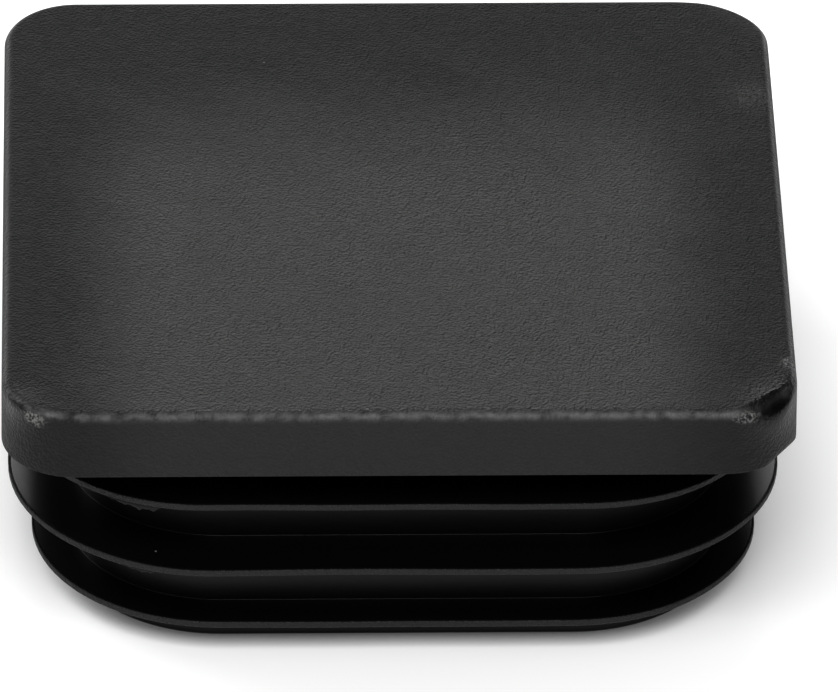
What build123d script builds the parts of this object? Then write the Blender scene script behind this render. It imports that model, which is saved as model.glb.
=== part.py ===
from build123d import *
import os
from math import radians, tan

# Ribbed end cap for the open end of a square tube, one moulding in black polyethylene.
# Millimetres, +Z up and out of the tube. The origin is the centre of the seat, which is the
# underside of the head that lies on the tube's end: the head is above it, and the hollow core
# with its thin fins hangs below it, inside the tube.

# Head: the plate that covers the tube's end, as wide as the tube is outside
HEAD_WIDTH = 50.0
HEAD_THICKNESS = 4.6
HEAD_CORNER_RADIUS = 4.7
HEAD_TOP_EDGE_RADIUS = 0.8
HEAD_DRAFT = 0.5  # degrees, the sides lean in towards the top
PLATE_THICKNESS = 3.0  # what is left of the head over the hollow

# Core: the hollow box that carries the fins
CORE_SET_IN = 4.0  # from the head's side to the core's side, at the seat
CORE_CORNER_RADIUS = 9.8
CORE_DEPTH = 14.8  # from the seat down to the rim
CORE_DRAFT = 0.5  # degrees, narrower towards the rim
RIM_WALL = 1.7
RIM_CHAMFER = 0.4
HOLLOW_DRAFT = 1.0  # degrees, wider towards the rim
HOLLOW_CEILING_RADIUS = 1.0

# Fins: each one's reach from the core's side, corner radius, and depth of its edge below the seat
UPPER_FIN_REACH = 3.2
UPPER_FIN_CORNER_RADIUS = 12.3
UPPER_FIN_DEPTH = 2.9
MIDDLE_FIN_REACH = 3.55
MIDDLE_FIN_CORNER_RADIUS = 13.0
MIDDLE_FIN_DEPTH = 7.55
LOWER_FIN_REACH = 2.15
LOWER_FIN_CORNER_RADIUS = 12.1
LOWER_FIN_DEPTH = 12.45
FIN_EDGE_THICKNESS = 0.45
FIN_ROOT_THICKNESS = 0.95
FIN_ROOT_SINK = 0.5  # how far inside the core's side the fin reaches its root thickness

# Marks of the mould on the hollow's ceiling
EJECTOR_MARK_RADIUS = 2.0
EJECTOR_MARK_DEPTH = 0.15
EJECTOR_MARK_INSET = 6.8  # from the side of the hollow's mouth to a mark's centre
GATE_MARK_RADIUS = 0.9
GATE_MARK_HEIGHT = 0.3

core_width = HEAD_WIDTH - 2 * CORE_SET_IN
rim_width = core_width - 2 * CORE_DEPTH * tan(radians(CORE_DRAFT))
mouth_width = rim_width - 2 * RIM_WALL
ceiling_height = HEAD_THICKNESS - PLATE_THICKNESS
fins = [
    (UPPER_FIN_REACH, UPPER_FIN_CORNER_RADIUS, UPPER_FIN_DEPTH),
    (MIDDLE_FIN_REACH, MIDDLE_FIN_CORNER_RADIUS, MIDDLE_FIN_DEPTH),
    (LOWER_FIN_REACH, LOWER_FIN_CORNER_RADIUS, LOWER_FIN_DEPTH),
]


def rounded_square(width, corner_radius, height):
    """A flat square with rounded corners, centred on the Z axis at a height."""
    return Pos(0, 0, height) * RectangleRounded(width, width, corner_radius)


def make_head():
    """The head: a drafted plate with a soft top edge, sharp round the seat where the mould parts."""
    plate = extrude(rounded_square(HEAD_WIDTH, HEAD_CORNER_RADIUS, 0), HEAD_THICKNESS, taper=HEAD_DRAFT)
    return fillet(plate.edges().group_by(Axis.Z)[-1], HEAD_TOP_EDGE_RADIUS)


def make_core():
    """The core without its hollow: it narrows from the seat down to the broken edge of its rim."""
    core = extrude(rounded_square(core_width, CORE_CORNER_RADIUS, 0), CORE_DEPTH, taper=CORE_DRAFT)
    core = chamfer(core.edges().group_by(Axis.Z)[-1], RIM_CHAMFER)
    return Rot(X=180) * core


def make_fin(reach, corner_radius, depth):
    """One fin, still a full plate: long flat bevels thin it from inside the core's wall to its edge."""
    width = core_width + 2 * reach
    outline = rounded_square(width, corner_radius, -depth)
    plate = extrude(outline, FIN_ROOT_THICKNESS / 2, both=True)
    bevel = (FIN_ROOT_THICKNESS - FIN_EDGE_THICKNESS) / 2
    for side in (-1, 0):
        face = plate.faces().sort_by(Axis.Z)[side]
        plate = chamfer(face.edges(), FIN_ROOT_SINK + reach, bevel, reference=face)
    return plate


def make_hollow():
    """The space inside the core: open at the rim, drafted, with a rounded edge round its ceiling."""
    run = CORE_DEPTH + ceiling_height
    mouth = rounded_square(mouth_width, CORE_CORNER_RADIUS - RIM_WALL, -CORE_DEPTH)
    space = extrude(mouth, run, taper=HOLLOW_DRAFT)
    return fillet(space.edges().group_by(Axis.Z)[-1], HOLLOW_CEILING_RADIUS)


def ejector_marks():
    """Four shallow round dents in the ceiling, where pins pushed the moulding out of its mould."""
    place = mouth_width / 2 - EJECTOR_MARK_INSET
    dent = extrude(Circle(EJECTOR_MARK_RADIUS), EJECTOR_MARK_DEPTH)
    return [Pos(x, y, ceiling_height) * dent for x in (-place, place) for y in (-place, place)]


def gate_mark():
    """The stub that the gate leaves in the middle of the ceiling."""
    stub = extrude(Circle(GATE_MARK_RADIUS), -GATE_MARK_HEIGHT)
    return Pos(0, 0, ceiling_height) * stub


def make_end_cap():
    """The whole moulding: head, core and fins in one, hollowed from below."""
    cap = make_head() + make_core()
    for fin in fins:
        cap += make_fin(*fin)
    cap -= make_hollow()
    cap -= ejector_marks()
    cap += gate_mark()
    return cap


os.makedirs("parts", exist_ok=True)
end_cap = make_end_cap()
export_step(end_cap, "parts/end_cap.step")
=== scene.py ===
import math
from functools import partial

import bpy
import numpy as np
from mathutils import Matrix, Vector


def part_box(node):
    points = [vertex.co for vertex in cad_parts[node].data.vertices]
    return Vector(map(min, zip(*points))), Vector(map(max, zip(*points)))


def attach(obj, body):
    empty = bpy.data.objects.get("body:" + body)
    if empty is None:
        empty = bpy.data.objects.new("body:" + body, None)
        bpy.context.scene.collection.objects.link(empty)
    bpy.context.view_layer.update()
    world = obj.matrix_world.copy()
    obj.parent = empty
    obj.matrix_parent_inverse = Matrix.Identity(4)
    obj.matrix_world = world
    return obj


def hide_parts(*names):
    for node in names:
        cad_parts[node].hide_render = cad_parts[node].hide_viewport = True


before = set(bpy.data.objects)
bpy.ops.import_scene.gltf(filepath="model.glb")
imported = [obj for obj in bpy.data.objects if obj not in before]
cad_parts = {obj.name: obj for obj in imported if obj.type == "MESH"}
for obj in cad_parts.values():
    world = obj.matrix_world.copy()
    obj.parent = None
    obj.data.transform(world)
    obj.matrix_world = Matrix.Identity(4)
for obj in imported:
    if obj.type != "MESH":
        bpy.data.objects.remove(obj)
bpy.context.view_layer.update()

# A ribbed end cap for square tube, moulded in black polyethylene, standing on its rim on a white
# table. Everything is in metres, in the part's own frame: +Z up and out of the tube, and the origin
# in the middle of the seat, the head's underside. Sizes below are given in millimetres.

MM = 0.001
NODE = "end_cap"
cap_low, cap_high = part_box(NODE)


# Camera: where it stands, worked out from the photo's outlines and edges

PHOTO_WIDTH = 838  # pixels
PHOTO_HEIGHT = 692
SENSOR_WIDTH = 36.0  # millimetres
FOCAL_LENGTH = 12786.8  # pixels
CAMERA_DISTANCE = 821.3 * MM
CAMERA_DOWN = 32.856  # degrees below the horizon
CAMERA_YAW = 1.62
CAMERA_ROLL = 0.599
SEAT_CENTRE_PIXEL = (392.364, 261.808)  # where the origin falls in the photo


def camera_axes():
    """The camera's right, up and forward directions: forward from yaw and the angle down, then rolled."""
    yaw, down, roll = (math.radians(a) for a in (CAMERA_YAW, CAMERA_DOWN, CAMERA_ROLL))
    forward = np.array([math.sin(yaw) * math.cos(down), math.cos(yaw) * math.cos(down), -math.sin(down)])
    level = np.array([math.cos(yaw), -math.sin(yaw), 0.0])
    upright = np.cross(level, forward)
    right = math.cos(roll) * level + math.sin(roll) * upright
    up = math.cos(roll) * upright - math.sin(roll) * level
    return right, up, forward


def make_camera():
    """The photo's camera: a long lens whose view puts the seat's centre on its pixel."""
    right, up, forward = camera_axes()
    data = bpy.data.cameras.new("camera")
    data.sensor_width = SENSOR_WIDTH
    data.lens = FOCAL_LENGTH / PHOTO_WIDTH * SENSOR_WIDTH
    camera = bpy.data.objects.new("camera", data)
    bpy.context.scene.collection.objects.link(camera)
    aside = (SEAT_CENTRE_PIXEL[0] - PHOTO_WIDTH / 2) / FOCAL_LENGTH * CAMERA_DISTANCE
    above = -(SEAT_CENTRE_PIXEL[1] - PHOTO_HEIGHT / 2) / FOCAL_LENGTH * CAMERA_DISTANCE
    place = -aside * right - above * up - CAMERA_DISTANCE * forward
    matrix = np.eye(4)
    matrix[:3, 0], matrix[:3, 1], matrix[:3, 2], matrix[:3, 3] = right, up, -forward, place
    camera.matrix_world = Matrix(matrix)
    bpy.context.scene.camera = camera


make_camera()


# The moulding's sizes, in millimetres

HEAD_HALF = cap_high[0] / MM
HEAD_TOP = cap_high[2] / MM
RIM_BOTTOM = cap_low[2] / MM
HEAD_CORNER = 4.7
HEAD_DRAFT = 0.5  # degrees
SIDE_TOP = HEAD_HALF - HEAD_TOP * math.tan(math.radians(HEAD_DRAFT))  # half the head's width at its top
TOP_EDGE_RADIUS = 0.8
SEAT_EDGE_RADIUS = 0.08
CORE_HALF = 21.0
CORE_CORNER = 9.8
CORE_DRAFT = 0.5  # degrees
SEAT_ROOT_RADIUS = 0.4
FIN_ROOT_RADIUS = 0.04
FIN_EDGE_RADIUS = 0.1
FIN_EDGE = 0.45  # how thick a fin is at its edge, and at its root
FIN_ROOT = 0.95
FIN_ROOT_SINK = 0.5  # how far inside the core's side a fin would reach its root thickness
FINS = (  # reach from the core's side, corner radius and depth below the seat
    (3.2, 12.3, 2.9),
    (3.55, 13.0, 7.55),
    (2.15, 12.1, 12.45),
)
RIM_WALL = 1.7
RIM_OUTER_RADIUS = 0.35
RIM_INNER_RADIUS = 0.15
HOLLOW_DRAFT = 1.0  # degrees
CEILING = 1.6
CEILING_RADIUS = 1.0
EJECTOR_PLACE = 12.37  # from the middle to each ejector dent, both ways
EJECTOR_RADIUS = 2.0
EJECTOR_DEPTH = 0.15
GATE_RADIUS = 0.9
GATE_HEIGHT = 0.3


# How finely the moulding is drawn: columns round it, and rows down its section

SIDE_COLUMNS = 48
CORNER_COLUMNS = 22
COLUMN_CROWDING = 0.6  # 0 is even columns along a side, and nearer 1 they crowd at its ends
TOP_ROWS = 46
FLAT_MARGIN = 0.1  # from the top's last row to where its edge starts to turn, in millimetres
FLAT_ROWS = 1
TOP_EDGE_ROWS = 14
HEAD_SIDE_ROWS = 12
SEAT_EDGE_ROWS = 4
SEAT_ROWS = 10
SEAT_ROOT_ROWS = 6
FIRST_WALL_ROWS = 8
FIN_ROOT_ROWS = 5
FIN_FACE_ROWS = 10
FIN_EDGE_ROWS = 4
FIN_TIP_ROWS = 3
WALL_ROWS = 10
RIM_EDGE_ROWS = 5
RIM_ROWS = 5
MOUTH_EDGE_ROWS = 4
HOLLOW_ROWS = 16
CEILING_EDGE_ROWS = 8
CEILING_ROWS = 34
SAME_PLACE = 1e-6  # rows nearer to each other than this are one row
ON_FACE = 0.015  # a point nearer to a face than this counts as lying on it


def around():
    """Columns round the moulding: A is the way to the corner's centre and N the way out, for each column.

    A side runs from one corner's centre to the next with one N, at u + k sin(pi u) / pi for even steps
    of u from -1 to 1, where k is the crowding. A corner keeps one A while N turns through 90 degrees.
    A point of half width h and corner radius r is (h - r) A + r N.
    """
    ways, outs = [], []
    even = np.linspace(-1, 1, SIDE_COLUMNS, endpoint=False)
    along = even + COLUMN_CROWDING * np.sin(np.pi * even) / np.pi
    turn = np.radians(np.linspace(0, 90, CORNER_COLUMNS, endpoint=False))
    for quarter in range(4):
        angle = quarter * math.pi / 2
        spin = np.array([[math.cos(angle), -math.sin(angle)], [math.sin(angle), math.cos(angle)]])
        side = np.stack([along, np.full_like(along, -1.0)], axis=1)
        side_out = np.tile([0.0, -1.0], (SIDE_COLUMNS, 1))
        corner = np.tile([1.0, -1.0], (CORNER_COLUMNS, 1))
        corner_out = np.stack([np.sin(turn), -np.cos(turn)], axis=1)
        ways.append(np.vstack([side, corner]) @ spin.T)
        outs.append(np.vstack([side_out, corner_out]) @ spin.T)
    return np.vstack(ways), np.vstack(outs)


def profile(points):
    """A polyline of (half width, height, corner radius) with each corner rounded by a circular arc.

    A corner's arc starts and ends one tangent length from it, radius times the tangent of half the
    turn, and is drawn as a rational quadratic curve whose middle weight is the cosine of half the
    turn, which is a true circle. Rows crowd towards both ends of a straight run as a cosine.
    Each point is half width, height, corner radius, arc radius, rows of the arc and rows of the run
    after it. A row that repeats the one before it is left out.
    """
    table = np.array(points, dtype=float)
    spots, arc = table[:, :3], table[:, 3]
    arc_rows, run_rows = table[:, 4].astype(int), table[:, 5].astype(int)
    step = np.diff(spots, axis=0)
    heading = step / np.hypot(step[:, 0], step[:, 1])[:, None]
    half_turn = np.zeros(len(spots))
    cosine = np.sum(heading[:-1, :2] * heading[1:, :2], axis=1)
    half_turn[1:-1] = np.arccos(np.clip(cosine, -1, 1)) / 2
    tangent = (arc * np.tan(half_turn))[:, None]
    starts = spots[:-1] + heading * tangent[:-1]
    ends = spots[1:] - heading * tangent[1:]
    rows = []
    for run in range(len(starts)):
        steps = run_rows[run]
        share = (1 - np.cos(np.pi * np.arange(steps + 1) / steps)) / 2
        rows.append(starts[run] + share[:, None] * (ends[run] - starts[run]))
        if arc[run + 1] > 0:
            u = np.linspace(0, 1, arc_rows[run + 1] + 1)[1:-1, None]
            a, b, c = (1 - u) ** 2, 2 * u * (1 - u) * np.cos(half_turn[run + 1]), u ** 2
            rows.append((a * ends[run] + b * spots[run + 1] + c * starts[run + 1]) / (a + b + c))
    rows = np.vstack(rows)
    moved = np.abs(np.diff(rows, axis=0)).max(axis=1) > SAME_PLACE
    return rows[np.append(True, moved)]


def core_side(depth):
    """Half width and corner radius of the core at a depth below the seat: its draft draws both in."""
    drawn_in = depth * math.tan(math.radians(CORE_DRAFT))
    return CORE_HALF - drawn_in, CORE_CORNER - drawn_in


def fin_points(reach, corner, depth):
    """One fin's four profile points: its root above, its edge above and below, its root below.

    Above and below its depth, the edge lies half its thickness away, and the root as much more as
    the bevel's slope gives over the reach.
    """
    half = CORE_HALF + reach
    slope = (FIN_ROOT - FIN_EDGE) / 2 / (reach + FIN_ROOT_SINK)
    root_half, root_corner = core_side(depth)
    edge_rise = FIN_EDGE / 2
    root_rise = edge_rise + slope * (half - root_half)
    root = (root_corner, FIN_ROOT_RADIUS, FIN_ROOT_ROWS)
    edge = (corner, FIN_EDGE_RADIUS, FIN_EDGE_ROWS)
    return [
        (root_half, -depth + root_rise, *root, FIN_FACE_ROWS),
        (half, -depth + edge_rise, *edge, FIN_TIP_ROWS),
        (half, -depth - edge_rise, *edge, FIN_FACE_ROWS),
        (root_half, -depth - root_rise, *root, WALL_ROWS),
    ]


def moulding_profile():
    """The whole section, from the middle of the top, round the outside and up the hollow to its ceiling."""
    flat_half = SIDE_TOP - TOP_EDGE_RADIUS - FLAT_MARGIN
    flat_corner = HEAD_CORNER - TOP_EDGE_RADIUS - FLAT_MARGIN
    points = [
        (0, HEAD_TOP, 0, 0, 0, TOP_ROWS),
        (flat_half, HEAD_TOP, flat_corner, 0, 0, FLAT_ROWS),
        (SIDE_TOP, HEAD_TOP, HEAD_CORNER, TOP_EDGE_RADIUS, TOP_EDGE_ROWS, HEAD_SIDE_ROWS),
        (HEAD_HALF, 0, HEAD_CORNER, SEAT_EDGE_RADIUS, SEAT_EDGE_ROWS, SEAT_ROWS),
        (CORE_HALF, 0, CORE_CORNER, SEAT_ROOT_RADIUS, SEAT_ROOT_ROWS, FIRST_WALL_ROWS),
    ]
    for fin in FINS:
        points += fin_points(*fin)
    rim_half, rim_corner = core_side(-RIM_BOTTOM)
    mouth_half, mouth_corner = rim_half - RIM_WALL, CORE_CORNER - RIM_WALL
    drawn_in = (CEILING - RIM_BOTTOM) * math.tan(math.radians(HOLLOW_DRAFT))
    ceiling_half, ceiling_corner = mouth_half - drawn_in, mouth_corner - drawn_in
    points += [
        (rim_half, RIM_BOTTOM, rim_corner, RIM_OUTER_RADIUS, RIM_EDGE_ROWS, RIM_ROWS),
        (mouth_half, RIM_BOTTOM, mouth_corner, RIM_INNER_RADIUS, MOUTH_EDGE_ROWS, HOLLOW_ROWS),
        (ceiling_half, CEILING, ceiling_corner, CEILING_RADIUS, CEILING_EDGE_ROWS, CEILING_ROWS),
        (0, CEILING, 0, 0, 0, 0),
    ]
    return profile(points)


# What moulding and use leave on the shape, in millimetres

PLATE_DISH = 0.08  # how far the plate sinks in its middle as it cools
DISH_START = 16.0  # where the dish begins, from the middle
DISH_SLOPE = 0.5  # the share of that way on which it deepens, before it is flat
CORE_SINK = 0.035  # a shallow furrow in the top, over the core's thick wall
CORE_SINK_WIDTH = 1.3
CORE_SINK_RADIUS = 9.0
CORE_SINK_VARIES = 0.4  # the share of its depth that comes and goes along it
CORE_SINK_LENGTHS = (11, 17, 23)  # the lengths of that unevenness, and its seed
CORE_SINK_SEED = 5
SAG = 0.38  # the back right corner is rounder than the others
SAG_START = 43.0  # where it begins to fall, as x + y
SAG_LENGTH = 4.2
FIN_WAVE = 0.05  # how far the fins' edges rise and fall, over which lengths, and the first fin's seed
FIN_WAVE_LENGTHS = (13, 19, 31)
FIN_WAVE_SEED = 20
FIN_UNEVEN_REACH = 0.05  # how unevenly they reach out, in the same way
FIN_REACH_LENGTHS = (9, 15)
FIN_REACH_SEED = 30
FIN_LEAN = -0.14  # the fins' edges stand a little to the left of the head
TIP_SOFTNESS = 0.2  # how softly a worn tip runs into its sides, as a share of its depth
SCUFF_REACH = 0.6  # how far the scuffing spreads past a worn tip, as a share of its depth
WORN_TIPS = (  # azimuth and elevation of the way out in degrees, the depth worn off, how scuffed it is, which also sets its painted glints
    (-125.0, 9.0, 0.06, 1.0),
    (-72.0, 20.0, 0.07, 1.0),
    (-33.0, -35.0, 0.3, 0.1),
    (-50.0, 22.0, 0.3, 0.0),
    (-46.0, 40.0, 0.26, 0.0),
)
STAMP_REACH = 0.7  # how far around a stamped circle the points crowd towards it
STAMP_STEP = 0.12  # the width of its step


def ripple(place, lengths, seed):
    """A soft uneven field between -1 and 1: the mean of sin(2 pi d.p / length + phase).

    The direction d and the phase are drawn from the seed, anew for each length.
    """
    maker = np.random.default_rng(seed)
    total = np.zeros(len(place))
    for length in lengths:
        way = maker.normal(size=place.shape[1])
        way /= np.linalg.norm(way)
        total += np.sin(2 * np.pi * (place @ way) / length + maker.uniform(0, 2 * np.pi))
    return total / len(lengths)


def smooth(value):
    """The usual soft step: 0 below 0, 1 above 1, and 3v^2 - 2v^3 between."""
    value = np.clip(value, 0, 1)
    return value * value * (3 - 2 * value)


def square_distance(points, half, corner):
    """Distance outside a rounded square, negative inside.

    It is |max(q, 0)| + min(max(qx, qy), 0) - r, with q = |p| - (h - r).
    """
    q = np.abs(points[:, :2]) - (half - corner)
    outside = np.linalg.norm(np.maximum(q, 0), axis=1)
    return outside + np.minimum(q.max(axis=1), 0) - corner


def stamp(points, centre, radius, rise):
    """Prints a flat round step of a height into the ceiling, half way up where the circle lies.

    Points within the stamp's reach of the circle crowd towards it as r' = R + (r - R) |r - R| / reach,
    so that the narrow step has points on both its sides.
    """
    away = points[:, :2] - centre
    distance = np.linalg.norm(away, axis=1)
    on_ceiling = np.abs(points[:, 2] - CEILING) < ON_FACE
    near = on_ceiling & (np.abs(distance - radius) < STAMP_REACH) & (distance > 0)
    gap = distance[near] - radius
    moved = radius + gap * np.abs(gap) / STAMP_REACH
    points[near, :2] = centre + away[near] * (moved / distance[near])[:, None]
    distance[near] = moved
    points[on_ceiling, 2] += rise * smooth((radius - distance[on_ceiling]) / STAMP_STEP + 1 / 2)


def settle(points):
    """What cooling does to the head: a dished plate, a furrow over the core's wall and one sagging corner.

    The dish is a soft step of how far a point lies inside its start. The furrow is exp(-(d / width)^2),
    d being the distance from a rounded square over the middle of the core's wall. The corner sags as
    the square of how far x + y passes its start. All of them fade out down the head.
    """
    on_top = smooth((points[:, 2] - CEILING) / (HEAD_TOP - CEILING))
    inward = np.maximum(DISH_START - np.abs(points[:, :2]), 0).min(axis=1) / DISH_START
    from_wall = square_distance(points, CORE_HALF - RIM_WALL / 2, CORE_SINK_RADIUS)
    furrow = np.exp(-(from_wall / CORE_SINK_WIDTH) ** 2)
    comes_and_goes = CORE_SINK_VARIES * ripple(points[:, :2], CORE_SINK_LENGTHS, CORE_SINK_SEED)
    furrow *= 1 - CORE_SINK_VARIES + comes_and_goes
    corner = np.clip((points[:, 0] + points[:, 1] - SAG_START) / SAG_LENGTH, 0, None) ** 2
    points[:, 2] -= on_top * (PLATE_DISH * smooth(inward / DISH_SLOPE) + CORE_SINK * furrow)
    points[:, 2] -= SAG * corner * np.clip(points[:, 2] / HEAD_TOP, 0, 1)


def wave_fins(points, half):
    """Thin fins never come out flat: towards their edges they rise and fall, and reach out unevenly.

    With o growing evenly from 0 at the core to about 1 at the edge, they rise as o^2 and reach out and
    lean as o, the first two times a soft uneven field of each fin's own.
    """
    below = points[:, 2] < -SEAT_ROOT_RADIUS
    out = np.where(below, np.clip(half - CORE_HALF, 0, None), 0) / FINS[0][0]
    level = points * [1, 1, 0]
    for index, (_, _, depth) in enumerate(FINS):
        own = out * (np.abs(points[:, 2] + depth) < FIN_ROOT)
        points[:, 2] += FIN_WAVE * own ** 2 * ripple(level, FIN_WAVE_LENGTHS, FIN_WAVE_SEED + index)
        reach = FIN_UNEVEN_REACH * own * ripple(level, FIN_REACH_LENGTHS, FIN_REACH_SEED + index)
        points[:, :2] *= (1 + reach / CORE_HALF)[:, None]
        points[:, 0] += FIN_LEAN * own


def wear_tips(points):
    """Cuts each worn tip by a plane square to its way out n: p moves by -n s log(1 + exp(over / s)).

    Over is how far the point stands out past the plane, and s is a share of the depth worn off. Only
    the head wears. Returns how worn each point is, 0 to 1.
    """
    worn = np.zeros(len(points))
    head = points[:, 2] > -ON_FACE
    for azimuth, elevation, depth, scuffed in WORN_TIPS:
        turn, rise = math.radians(azimuth), math.radians(elevation)
        out = np.array([math.cos(turn) * math.cos(rise), math.sin(turn) * math.cos(rise), math.sin(rise)])
        over = points[head] @ out
        over -= over.max() - depth
        soft = TIP_SOFTNESS * depth
        points[head] -= np.logaddexp(0, over / soft)[:, None] * soft * out
        worn[head] = np.maximum(worn[head], scuffed * smooth(over / depth + SCUFF_REACH))
    return worn


# Where each finish lies, in millimetres

MIDDLE_START = 13.5  # the dull middle of the head, painted lighter grey as painted light, fades out between these distances
MIDDLE_END = 22.5
MIDDLE_BACK_START = -3.0
MIDDLE_BACK_END = 20.0
MIDDLE_ON_SIDES = 0.5  # how much of it, painted light included, the head's sides have
PATCHINESS = 0.12  # how uneven it is, over which lengths, and the seed
PATCH_LENGTHS = (7, 9, 12, 16, 5)
PATCH_SEED = 8
SIDE_GRAIN = 0.5  # how deep the grain is on the head's sides beside that on its top
BRIM_TURN = 46.0  # degrees round the top edge to the middle of its smoother band, and the band's spread
BRIM_SPREAD = 20.0
BRIM_FOOT = 1.75  # the band is on the outside of the head only, above this height
BRIM_CALM = 0.6  # the share of the grain that is missing in that band
HIGHLIGHT_START = 21.0  # the band is painted lighter along the front as a painted highlight, from here and over this width
HIGHLIGHT_FADE = 1.0
EDGE_BAND = 0.15  # the outermost part of a fin, where the mould's halves meet
POLISHED_CALM = 0.97  # the share of the grain that is missing on the sleek and the rubbed places
NICK = (24.55, -19.2, 4.5, 0.42)  # place and radius of a scuffed nick on the right edge
NICK_STRENGTH = 2.2  # above 1 it keeps a flat middle
SMEAR = (23.6, 12.7, 4.6, 1.6)  # place and radius of a faint light smear
SMEAR_STRENGTH = 0.25
RUBBED = (  # place, radius and strength of patches rubbed smooth and shiny beside the tips, and painted darker as painted shade
    (24.0, -23.7, 4.0, 2.3, 1.0),
    (-24.3, -23.0, 4.1, 1.5, 0.8),
)


def spot(points, x, y, z, radius):
    """A soft round spot on the surface: exp(-(distance / radius)^2)."""
    return np.exp(-(np.linalg.norm(points - [x, y, z], axis=1) / radius) ** 2)


def paint(mesh, name, values):
    """Stores one number a point on the mesh, for the material to read."""
    layer = mesh.attributes.new(name, "FLOAT", "POINT")
    layer.data.foreach_set("value", np.asarray(values, dtype=np.float32))


def dull_and_painted_light_middle(points, on_top):
    """How dull the head is, and how far it is painted lighter grey as painted light of the lamps'
    reflection: two soft steps that fade to the sides and the back, made patchy.
    """
    side = 1 - smooth((np.abs(points[:, 0]) - MIDDLE_START) / (MIDDLE_END - MIDDLE_START))
    back = 1 - smooth((points[:, 1] - MIDDLE_BACK_START) / (MIDDLE_BACK_END - MIDDLE_BACK_START))
    patches = PATCHINESS * ripple(points[:, :2], PATCH_LENGTHS, PATCH_SEED) * (side * back > 0)
    return np.clip(side * back + patches, 0, 1) * (MIDDLE_ON_SIDES + (1 - MIDDLE_ON_SIDES) * on_top)


def polished_and_shaded_places(points, half):
    """Where the mould was polished, and where the colour is painted darker as painted shade: the core, the
    fins and the hollow, but for the fins' very edges.
    """
    edges = [smooth((half - CORE_HALF - reach + EDGE_BAND) / EDGE_BAND) for reach, _, _ in FINS]
    near = [np.abs(points[:, 2] + depth) < FIN_EDGE / 2 + ON_FACE for _, _, depth in FINS]
    edge = np.max([e * n for e, n in zip(edges, near)], axis=0)
    under_seat = points[:, 2] < -ON_FACE
    in_hollow = (half < CORE_HALF - RIM_WALL) & (points[:, 2] <= CEILING + ON_FACE)
    return (under_seat | in_hollow) * (1 - edge)


def brim_band(points, half):
    """The smoother band round the top edge: exp(-((turn - middle) / spread)^2), turn in degrees round it."""
    across = np.maximum(half - SIDE_TOP + TOP_EDGE_RADIUS, 0)
    up = np.maximum(points[:, 2] - HEAD_TOP + TOP_EDGE_RADIUS, 0)
    turned = np.degrees(np.arctan2(across, up))
    return np.exp(-((turned - BRIM_TURN) / BRIM_SPREAD) ** 2) * (points[:, 2] > BRIM_FOOT)


def finish(mesh, points, half, worn):
    """Stores where each finish lies, and how deep the grain is, on the mesh's points.

    Points are the moulding's before it settles and wears. The grain is full on top, a share of that
    on the sides, and calmer by a share along the brim, on polished places and on rubbed ones.
    """
    on_top = smooth((points[:, 2] - HEAD_TOP) / TOP_EDGE_RADIUS + 1)
    sleek = polished_and_shaded_places(points, half)
    brim = brim_band(points, half)
    scuffs_and_painted_glints = worn + NICK_STRENGTH * spot(points, *NICK) + SMEAR_STRENGTH * spot(points, *SMEAR)
    rubbed = np.max([strength * spot(points, *place) for *place, strength in RUBBED], axis=0)
    grained = (SIDE_GRAIN + (1 - SIDE_GRAIN) * on_top) * (1 - BRIM_CALM * brim)
    # the middle sets the roughness, and also where the head is painted lighter grey as painted light
    paint(mesh, "middle", dull_and_painted_light_middle(points, on_top))
    # sleek sets the smoother roughness, and also where the colour is painted darker as painted shade
    paint(mesh, "sleek", sleek)
    # worn tips, the nick and the smear get light crumbs, which on the tips are scuffing and also painted
    # glints
    paint(mesh, "worn", np.clip(scuffs_and_painted_glints, 0, 1))
    # the rubbed patches are smoother, and also painted darker as painted shade
    paint(mesh, "rubbed", rubbed)
    paint(mesh, "brim", brim)
    # painted highlight: the front part of the band, which the material paints light
    paint(mesh, "front", brim * smooth((-points[:, 1] - HIGHLIGHT_START) / HIGHLIGHT_FADE))
    paint(mesh, "grained", grained * (1 - POLISHED_CALM * np.maximum(sleek, rubbed)))


def make_piece(name, points, faces):
    """A smooth piece from points in millimetres and faces, with its place in its mesh."""
    mesh = bpy.data.meshes.new(name)
    mesh.from_pydata((points * MM).tolist(), [], faces)
    mesh.polygons.foreach_set("use_smooth", [True] * len(mesh.polygons))
    mesh.update()
    piece = bpy.data.objects.new(name, mesh)
    bpy.context.scene.collection.objects.link(piece)
    return piece


def make_moulding():
    """The moulding as one closed mesh: its profile carried round the rounded square, with two poles.

    Each row of half width h and corner radius r is the ring (h - r) A + r N at the row's height.
    """
    rows = moulding_profile()
    way, out = around()
    ring, count = len(way), len(rows) - 2
    half, height, corner = rows[1:-1].T[:, :, None]
    x = ((half - corner) * way[:, 0] + corner * out[:, 0]).ravel()
    y = ((half - corner) * way[:, 1] + corner * out[:, 1]).ravel()
    points = np.stack([x, y, np.repeat(height.ravel(), ring)], axis=1)
    points = np.vstack([points, [[0, 0, HEAD_TOP], [0, 0, CEILING]]])
    half = np.append(np.repeat(half.ravel(), ring), [0, 0])
    plain = points.copy()
    settle(points)
    wave_fins(points, half)
    worn = wear_tips(points)
    for side in (-1, 1):
        for end in (-1, 1):
            stamp(points, np.array([side, end]) * EJECTOR_PLACE, EJECTOR_RADIUS, EJECTOR_DEPTH)
    stamp(points, np.zeros(2), GATE_RADIUS, -GATE_HEIGHT)

    here = np.arange(ring)
    there = np.roll(here, -1)
    level = (np.arange(count - 1) * ring)[:, None]
    quads = np.stack([level + here, level + ring + here, level + ring + there, level + there], axis=-1)
    top, bottom, last = count * ring, count * ring + 1, (count - 1) * ring
    cap = np.stack([np.full(ring, top), here, there], axis=1)
    floor = np.stack([np.full(ring, bottom), last + there, last + here], axis=1)
    faces = quads.reshape(-1, 4).tolist() + cap.tolist() + floor.tolist()
    moulding = make_piece("cap_moulding", points, faces)
    finish(moulding.data, plain, half, worn)
    return moulding


moulding = make_moulding()
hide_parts(NODE)
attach(moulding, "root")


# Flash: thin skins of plastic that squeezed out between the mould's halves and hang from a fin's edge

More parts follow.
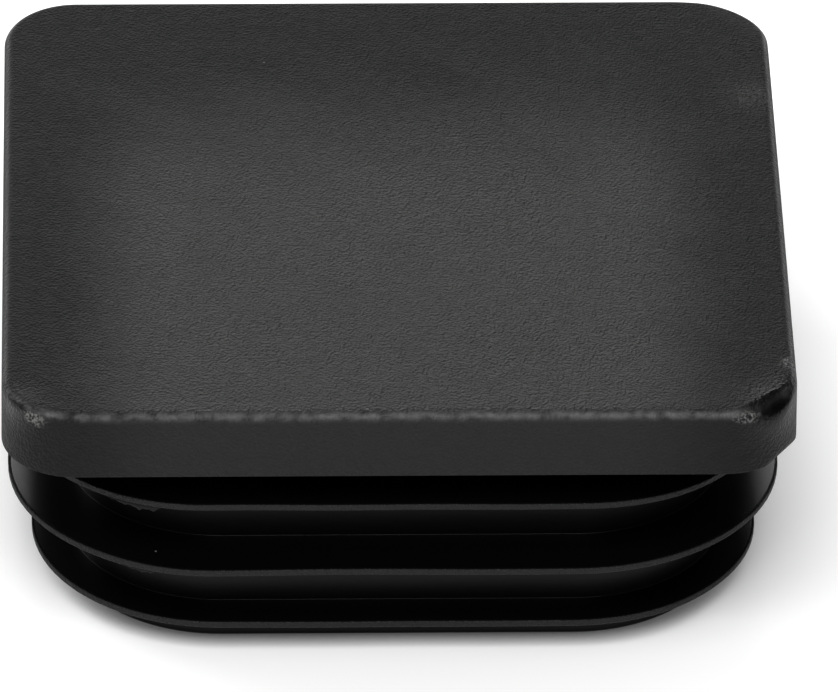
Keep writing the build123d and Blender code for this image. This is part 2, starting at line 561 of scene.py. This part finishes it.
FLAKES = (  # name, which fin, where it starts and ends round the front left corner in degrees, its drop
    ("upper_flash", 0, -122.0, -104.0, 0.5),
    ("middle_flash", 1, -117.0, -106.5, 0.32),
)
FLAKE_THICKNESS = 0.05
FLAKE_SINK = 0.015  # how far its upper side is inside the fin
FLAKE_STEPS = 60
FLAKE_ROUND = 16
FLAKE_END = 0.01  # the share left off each end, so that the skin ends in a small flat
FLAKE_BLUNTNESS = 6  # how late and how steeply it ends
FLAKE_RAGGEDNESS = ((0.25, 23, 0), (0.15, 51, 1))  # height, speed and phase of its ragged edge's waves


def make_flake(name, fin, start, end, drop):
    """A thin skin under a fin's edge, a closed loop t carried along u from 0 to 1 round the fin's corner.

    Its depth d is u (1 - u^6), so that it deepens slowly, ends short and closes at both ends. Radius
    is the fin's corner radius plus thickness * sin t * sqrt(d), and height is the edge's lower side
    minus drop * d * (1 - cos t) / 2, made ragged by waves of sin(speed * u + phase).
    """
    reach, corner, depth = FINS[fin]
    u = np.linspace(FLAKE_END, 1 - FLAKE_END, FLAKE_STEPS)[:, None]
    t = np.linspace(0, 2 * np.pi, FLAKE_ROUND, endpoint=False)
    deep = u * (1 - u ** FLAKE_BLUNTNESS)
    ragged = 1 + sum(height * np.sin(speed * u + phase) for height, speed, phase in FLAKE_RAGGEDNESS)
    fall = drop * deep * ragged * (1 - np.cos(t)) / 2
    radius = corner - FIN_EDGE_RADIUS / 2 + FLAKE_THICKNESS * np.sin(t) * np.sqrt(deep)
    angle = np.radians(start + (end - start) * u)
    centre = CORE_HALF + reach - corner
    x = FIN_LEAN - centre + radius * np.cos(angle)
    y = -centre + radius * np.sin(angle)
    points = np.stack([x, y, -depth - FIN_EDGE / 2 + FLAKE_SINK - fall], axis=-1).reshape(-1, 3)
    here = np.arange(FLAKE_ROUND)
    there = np.roll(here, -1)
    level = (np.arange(FLAKE_STEPS - 1) * FLAKE_ROUND)[:, None]
    after = level + FLAKE_ROUND
    quads = np.stack([level + here, level + there, after + there, after + here], axis=-1)
    first, last = here[::-1], (FLAKE_STEPS - 1) * FLAKE_ROUND + here
    flake = make_piece(name, points, quads.reshape(-1, 4).tolist() + [first.tolist(), last.tolist()])
    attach(flake, "root")
    return flake


flakes = [make_flake(*flake) for flake in FLAKES]


# Materials


def linear(colour):
    """An sRGB colour such as "#101011" as linear red, green, blue and an alpha of one."""
    parts = [int(colour[i:i + 2], 16) / 255 for i in (1, 3, 5)]
    return [p / 12.92 if p <= 0.04045 else ((p + 0.055) / 1.055) ** 2.4 for p in parts] + [1.0]


def add(tree, kind, inputs=(), output=0, **settings):
    """Adds one shader node with its own settings, and gives one of its outputs.

    Inputs are a list in the node's own order, or a dictionary by name. Each is a value or another
    node's output.
    """
    node = tree.nodes.new("ShaderNode" + kind)
    for name, value in settings.items():
        setattr(node, name, value)
    for place, value in inputs.items() if isinstance(inputs, dict) else enumerate(inputs):
        if isinstance(value, bpy.types.NodeSocket):
            tree.links.new(value, node.inputs[place])
        else:
            node.inputs[place].default_value = value
    return node.outputs[output]


# Moulded polyethylene: sizes and heights of its patterns in millimetres, colours and finishes

GRAIN = 0.19  # the spark-eroded grain of the mould
GRAIN_HEIGHT = 0.33
BLOTCH = 0.75  # soft unevenness, seen as light and dark spots along the edges
BLOTCH_HEIGHT = 0.035
BLOTCH_ROUGHNESS = 0.16  # how far it changes the roughness, from its darkest to its lightest
SPECKLE = 0.16  # the bright crumbs of scuffed plastic, which on the worn tips also stand as painted glints
FINE_DETAIL = 2.0  # octaves of finer noise in the grain and the crumbs, and in the blotches
SOFT_DETAIL = 1.0
CRUMB_CONTRAST = 5.0  # crumbs are the speckle times this, plus the cut, kept between 0 and 1
CRUMB_CUT = -2.1
HIGHLIGHT_CONTRAST = 2.4  # the painted highlight along the front brim is the blotches, treated in the same way
HIGHLIGHT_CUT = -0.6
DUST_SPACING = 5.0
DUST = 0.016  # a speck's radius as a share of that spacing
DUST_STRENGTH = 0.6

BORDER_COLOUR = "#070707"
# painted light: the middle of the head is painted lighter grey where the lamps' reflection is brightest
MIDDLE_PAINTED_LIGHT_COLOUR = "#252525"
# painted highlight along the front of the top edge
PAINTED_BRIM_HIGHLIGHT_COLOUR = "#555555"
# painted shade: the core, fins and hollow are painted darker so that the gaps between the fins stay black
SLEEK_PAINTED_SHADE_COLOUR = "#030303"
# painted shade: the rubbed patches at the front corners are painted darker
RUBBED_PAINTED_SHADE_COLOUR = "#020202"
# the crumbs on worn tips are scuffed plastic and also painted glints
CRUMB_AND_GLINT_COLOUR = "#6c6c6a"
DUST_COLOUR = "#6a6a68"

MIDDLE_ROUGHNESS = 0.42
BORDER_ROUGHNESS = 0.66
BRIM_ROUGHNESS = 0.36
SLEEK_ROUGHNESS = 0.33
WORN_ROUGHNESS = 0.5
RUBBED_ROUGHNESS = 0.2
POLYETHYLENE_IOR = 1.51
SHEEN = 0.2  # the pits of the grain swallow a part of the shine


def moulded_polyethylene():
    """Injection-moulded black polyethylene, near black and waxy.

    The head has the fine grain of a spark-eroded mould. It is dull in the middle and painted a little
    greyer there as painted light, where the lamps' reflection is brightest. The core and the fins come from
    polished steel: smoother, and painted darker as painted shade, so that the gaps stay black. Scuffed tips
    are light and crumbly, their light crumbs also painted glints, and rubbed patches beside them shine,
    painted darker as painted shade.
    """
    material = bpy.data.materials.new("black_moulded_polyethylene")
    material.use_nodes = True
    tree = material.node_tree
    shader = tree.nodes["Principled BSDF"]
    node = partial(add, tree)
    place = node("TexCoord", output="Object")
    middle, sleek, worn, rubbed, brim, front, grained = (
        node("Attribute", output="Fac", attribute_name=name)
        for name in ("middle", "sleek", "worn", "rubbed", "brim", "front", "grained")
    )
    grain, blotch, speckle = (
        node("TexNoise", {"Vector": place, "Scale": 1 / (size * MM), "Detail": detail})
        for size, detail in ((GRAIN, FINE_DETAIL), (BLOTCH, SOFT_DETAIL), (SPECKLE, FINE_DETAIL))
    )
    cells = node("TexVoronoi", {"Vector": place, "Scale": 1 / (DUST_SPACING * MM)}, output="Distance")

    crumb = node("Math", [speckle, CRUMB_CONTRAST, CRUMB_CUT], operation="MULTIPLY_ADD", use_clamp=True)
    # painted glints: light crumbs where the tips are worn and scuffed
    crumbs_and_painted_glints = node("Math", [worn, crumb], operation="MULTIPLY")
    # painted highlight: a blotchy light line along the front brim
    light = node("Math", [blotch, HIGHLIGHT_CONTRAST, HIGHLIGHT_CUT], operation="MULTIPLY_ADD", use_clamp=True)
    painted_brim_highlight = node("Math", [front, light], operation="MULTIPLY")
    speck = node("Math", [cells, DUST], operation="LESS_THAN")
    dust = node("Math", [speck, DUST_STRENGTH], operation="MULTIPLY")
    # painted light: the lighter middle colour stands for the lamps' reflection on the head
    colour = node("MixRGB", [middle, linear(BORDER_COLOUR), linear(MIDDLE_PAINTED_LIGHT_COLOUR)])
    for share, own in (
        (painted_brim_highlight, PAINTED_BRIM_HIGHLIGHT_COLOUR),
        (sleek, SLEEK_PAINTED_SHADE_COLOUR),
        (rubbed, RUBBED_PAINTED_SHADE_COLOUR),
        (crumbs_and_painted_glints, CRUMB_AND_GLINT_COLOUR),
        (dust, DUST_COLOUR),
    ):
        colour = node("MixRGB", [share, colour, linear(own)])
    tree.links.new(colour, shader.inputs["Base Color"])

    uneven = node("Math", [blotch, BLOTCH_ROUGHNESS, -BLOTCH_ROUGHNESS / 2], operation="MULTIPLY_ADD")
    rough = node("Mix", {"Factor": middle, "A": BORDER_ROUGHNESS, "B": MIDDLE_ROUGHNESS})
    rough = node("Math", [rough, uneven], operation="ADD")
    for share, own in (
        (brim, BRIM_ROUGHNESS),
        (sleek, SLEEK_ROUGHNESS),
        (worn, WORN_ROUGHNESS),
        (rubbed, RUBBED_ROUGHNESS),
    ):
        rough = node("Mix", {"Factor": share, "A": rough, "B": own})
    tree.links.new(rough, shader.inputs["Roughness"])

    height = node("Math", [grain, GRAIN_HEIGHT], operation="MULTIPLY")
    height = node("Math", [blotch, BLOTCH_HEIGHT, height], operation="MULTIPLY_ADD")
    height = node("Math", [height, grained], operation="MULTIPLY")
    bump = node("Bump", {"Strength": 1.0, "Distance": MM, "Height": height})
    tree.links.new(bump, shader.inputs["Normal"])
    shader.inputs["IOR"].default_value = POLYETHYLENE_IOR
    shader.inputs["Specular IOR Level"].default_value = SHEEN
    return material


polyethylene = moulded_polyethylene()
for piece in [moulding, *flakes]:
    piece.data.materials.append(polyethylene)


# The table and the lamps

TABLE_SIZE = 4.0  # metres
TABLE_GLOW = 0.48  # how far the table is white to the eye apart from the lamps' light on it
TABLE_SEEN = 0.85  # how much of the lamps' light the eye sees on it
PAPER_COLOUR = "#ededed"  # what the table is to all other light
PAINTED_SHADOW_REACH = 0.03  # metres around the cap in which it takes glow away, as painted shadow
PAINTED_SHADOW_SAMPLES = 8
WORLD_LIGHT = 0.08
WHITE = (1, 1, 1, 1)


def white_table():
    """White card. The eye and reflections see it white but for the cap's shadow, cast by the lamps and
    deepened as painted shadow where its glow fades near the cap, and nothing from below.
    """
    material = bpy.data.materials.new("white_table")
    material.use_nodes = True
    material.cycles.emission_sampling = "NONE"
    tree = material.node_tree
    tree.nodes.clear()
    node = partial(add, tree)
    seen = node("LightPath", output="Is Camera Ray")
    for kind in ("Is Glossy Ray", "Is Transmission Ray"):
        seen = node("Math", [seen, node("LightPath", output=kind)], operation="MAXIMUM")
    paper = node("BsdfDiffuse", {"Color": linear(PAPER_COLOUR)})
    lit = node("BsdfDiffuse", {"Color": (TABLE_SEEN, TABLE_SEEN, TABLE_SEEN, 1)})
    # painted shadow: the table's glow fades by ambient occlusion near the cap
    unshaded_by_painted_shadow = node("AmbientOcclusion", {"Distance": PAINTED_SHADOW_REACH}, output="AO", samples=PAINTED_SHADOW_SAMPLES)
    strength = node("Math", [unshaded_by_painted_shadow, TABLE_GLOW], operation="MULTIPLY")
    glow = node("Emission", {"Color": WHITE, "Strength": strength})
    white = node("AddShader", [lit, glow])
    either = node("MixShader", [seen, paper, white])
    underside = node("NewGeometry", output="Backfacing")
    whole = node("MixShader", [underside, either, node("BsdfTransparent")])
    output = tree.nodes.new("ShaderNodeOutputMaterial")
    tree.links.new(whole, output.inputs["Surface"])
    return material


def make_table():
    """A flat square table, level with the underside of the rim."""
    half = TABLE_SIZE / 2
    square = ((-half, -half), (half, -half), (half, half), (-half, half))
    corners = [(x, y, RIM_BOTTOM * MM) for x, y in square]
    mesh = bpy.data.meshes.new("table")
    mesh.from_pydata(corners, [], [(0, 1, 2, 3)])
    table = bpy.data.objects.new("table", mesh)
    bpy.context.scene.collection.objects.link(table)
    mesh.materials.append(white_table())


make_table()

LAMPS = (  # azimuth from the back and elevation in degrees, distance, width and height in metres, radiance
    ("front_softbox", 180, 54, 0.7, 0.3, 0.35, 10.6),
    ("back_softbox", 0, 27, 0.7, 0.3, 0.35, 6.9),
    ("front_left_softbox", -130, 50, 0.7, 0.3, 0.3, 3.8),
    ("left_softbox", -60, 32, 0.7, 0.3, 0.35, 4.4),
)


def softbox(name, azimuth, elevation, distance, width, height, radiance):
    """A soft lamp that faces the cap: its power comes from its radiance times pi and its area."""
    data = bpy.data.lights.new(name, "AREA")
    data.shape = "RECTANGLE"
    data.size, data.size_y = width, height
    data.energy = radiance * math.pi * width * height
    lamp = bpy.data.objects.new(name, data)
    bpy.context.scene.collection.objects.link(lamp)
    turn, rise = math.radians(azimuth), math.radians(elevation)
    away = np.array([math.sin(turn) * math.cos(rise), math.cos(turn) * math.cos(rise), math.sin(rise)])
    side = np.array([math.cos(turn), -math.sin(turn), 0.0])
    over = np.cross(away, side)
    matrix = np.eye(4)
    matrix[:3, 0], matrix[:3, 1], matrix[:3, 2], matrix[:3, 3] = side, over, away, away * distance
    lamp.matrix_world = Matrix(matrix)
    lamp.visible_camera = False


for lamp in LAMPS:
    softbox(*lamp)


def make_world():
    """Dim grey surroundings, which fill the shadows a little."""
    world = bpy.data.worlds.new("studio")
    bpy.context.scene.world = world
    world.use_nodes = True
    background = world.node_tree.nodes["Background"]
    background.inputs["Color"].default_value = WHITE
    background.inputs["Strength"].default_value = WORLD_LIGHT


make_world()

bpy.context.scene.view_settings.view_transform = "Standard"
